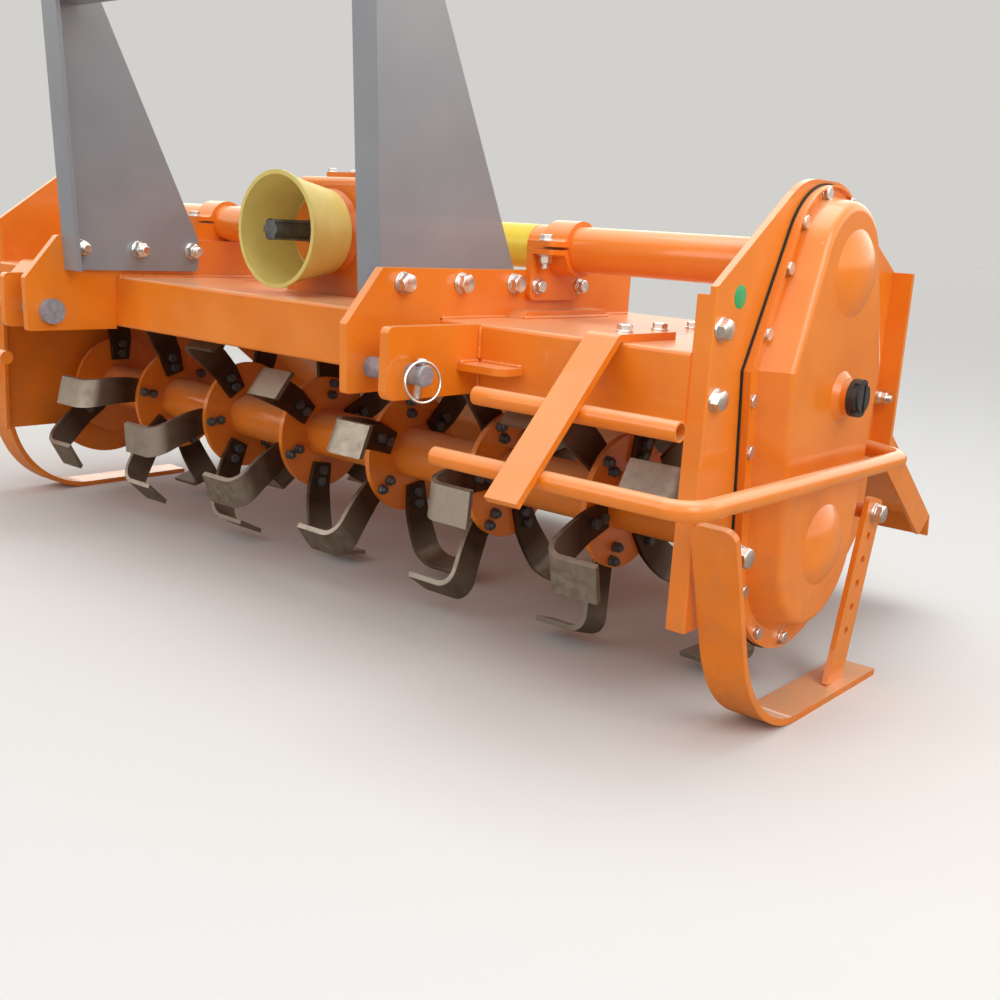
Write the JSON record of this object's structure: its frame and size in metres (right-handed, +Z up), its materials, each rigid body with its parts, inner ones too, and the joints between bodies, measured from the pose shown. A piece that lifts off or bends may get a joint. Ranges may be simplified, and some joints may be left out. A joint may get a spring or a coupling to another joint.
{
  "type": "rotary tiller",
  "caption": "Tractor-mounted rotary tiller with three-point headstock, side gear case, bladed rotor under a hood, skids, side guards and a hinged tailboard.",
  "frame": {"origin": "on the ground under the middle of the machine", "axes": "+Z up, -Y forward to the tractor, +X to the machine's left, where the gear case is"},
  "size_m": [1.8848, 1.0648, 1.087],
  "materials": {
    "orange_paint": "glossy powder coat",
    "grey_paint": "satin powder coat",
    "plated_steel": "zinc plated",
    "blade_steel": "forged and worn",
    "machined_steel": "turned",
    "guard_plastic": "moulded",
    "black_plastic": "moulded",
    "gasket": "matte",
    "cast_housing": "painted casting"
  },
  "bodies": {
    "frame": {"brace_tube": "orange_paint", "clamp_saddle_left": "orange_paint", "clamp_saddle_right": "orange_paint", "clamp_strap_left": "orange_paint", "clamp_strap_right": "orange_paint", "cover_gasket": "gasket", "deck_frame": "orange_paint", "drive_tube": "orange_paint", "filler_plug": "black_plastic", "gear_cover": "orange_paint", "gearbox": "cast_housing", "guard_arm_left": "orange_paint", "guard_arm_right": "orange_paint", "guard_bar_left": "orange_paint", "guard_bar_right": "orange_paint", "guard_rail_left": "orange_paint", "guard_rail_right": "orange_paint", "headstock_left": "orange_paint", "headstock_right": "orange_paint", "hinge_lugs": "orange_paint", "hinge_rod": "plated_steel", "hitch_lug_left": "orange_paint", "hitch_lug_right": "orange_paint", "linch_pin_left": "plated_steel", "linch_pin_right": "plated_steel", "lower_pin_left": "plated_steel", "lower_pin_right": "plated_steel", "mast_head": "grey_paint", "mast_left": "grey_paint", "mast_right": "grey_paint", "pto_guard": "guard_plastic", "rod_post_left": "orange_paint", "rod_post_right": "orange_paint", "rotor_bearing": "orange_paint", "rotor_hood": "orange_paint", "side_plate_left": "orange_paint", "side_plate_right": "orange_paint", "skid_left": "orange_paint", "skid_mounts_left": "orange_paint", "skid_mounts_right": "orange_paint", "skid_right": "orange_paint"},
    "rotor": {"rotor_blades_left": "blade_steel", "rotor_blades_right": "blade_steel", "rotor_shaft": "orange_paint"},
    "pto_shaft": {"pto_shaft": "machined_steel"},
    "tailboard": {"tailboard": "orange_paint"},
    "swivel_left": {"rod_swivel_left": "plated_steel"},
    "swivel_right": {"rod_swivel_right": "plated_steel"},
    "rod_left": {"rod_left": "plated_steel"},
    "rod_right": {"rod_right": "plated_steel"}
  },
  "joints": [
    {"name": "rotor_spin", "type": "hinge", "parent": "frame", "child": "rotor", "pos_m": [0, -0.08118, 0.238], "axis": [1, 0, 0], "continuous": true},
    {"name": "pto_spin", "type": "hinge", "parent": "frame", "child": "pto_shaft", "pos_m": [0, -0.31118, 0.611], "axis": [0, 1, 0], "continuous": true},
    {"name": "tailboard_hinge", "type": "hinge", "parent": "frame", "child": "tailboard", "pos_m": [0, 0.18382, 0.43], "axis": [1, 0, 0], "range_deg": [0, 35]},
    {"name": "swivel_left_turn", "type": "hinge", "parent": "frame", "child": "swivel_left", "pos_m": [0.3, 0.15682, 0.585], "axis": [1, 0, 0], "range_deg": [0, 21.31]},
    {"name": "rod_left_slide", "type": "slide", "parent": "swivel_left", "child": "rod_left", "axis": [0, 0.6676, -0.7445], "range_m": [-0.0635, 0]},
    {"name": "swivel_right_turn", "type": "hinge", "parent": "frame", "child": "swivel_right", "pos_m": [-0.3, 0.15682, 0.585], "axis": [1, 0, 0], "range_deg": [0, 21.31]},
    {"name": "rod_right_slide", "type": "slide", "parent": "swivel_right", "child": "rod_right", "axis": [0, 0.6676, -0.7445], "range_m": [-0.0635, 0]}
  ],
  "couplings": [
    {"joint": "pto_spin", "follows": "rotor_spin", "ratio": 2.35},
    {"joint": "swivel_left_turn", "follows": "tailboard_hinge", "ratio": 0.5945},
    {"joint": "rod_left_slide", "follows": "tailboard_hinge", "m_per_rad": -0.10238},
    {"joint": "swivel_right_turn", "follows": "tailboard_hinge", "ratio": 0.5945},
    {"joint": "rod_right_slide", "follows": "tailboard_hinge", "m_per_rad": -0.10238}
  ]
}
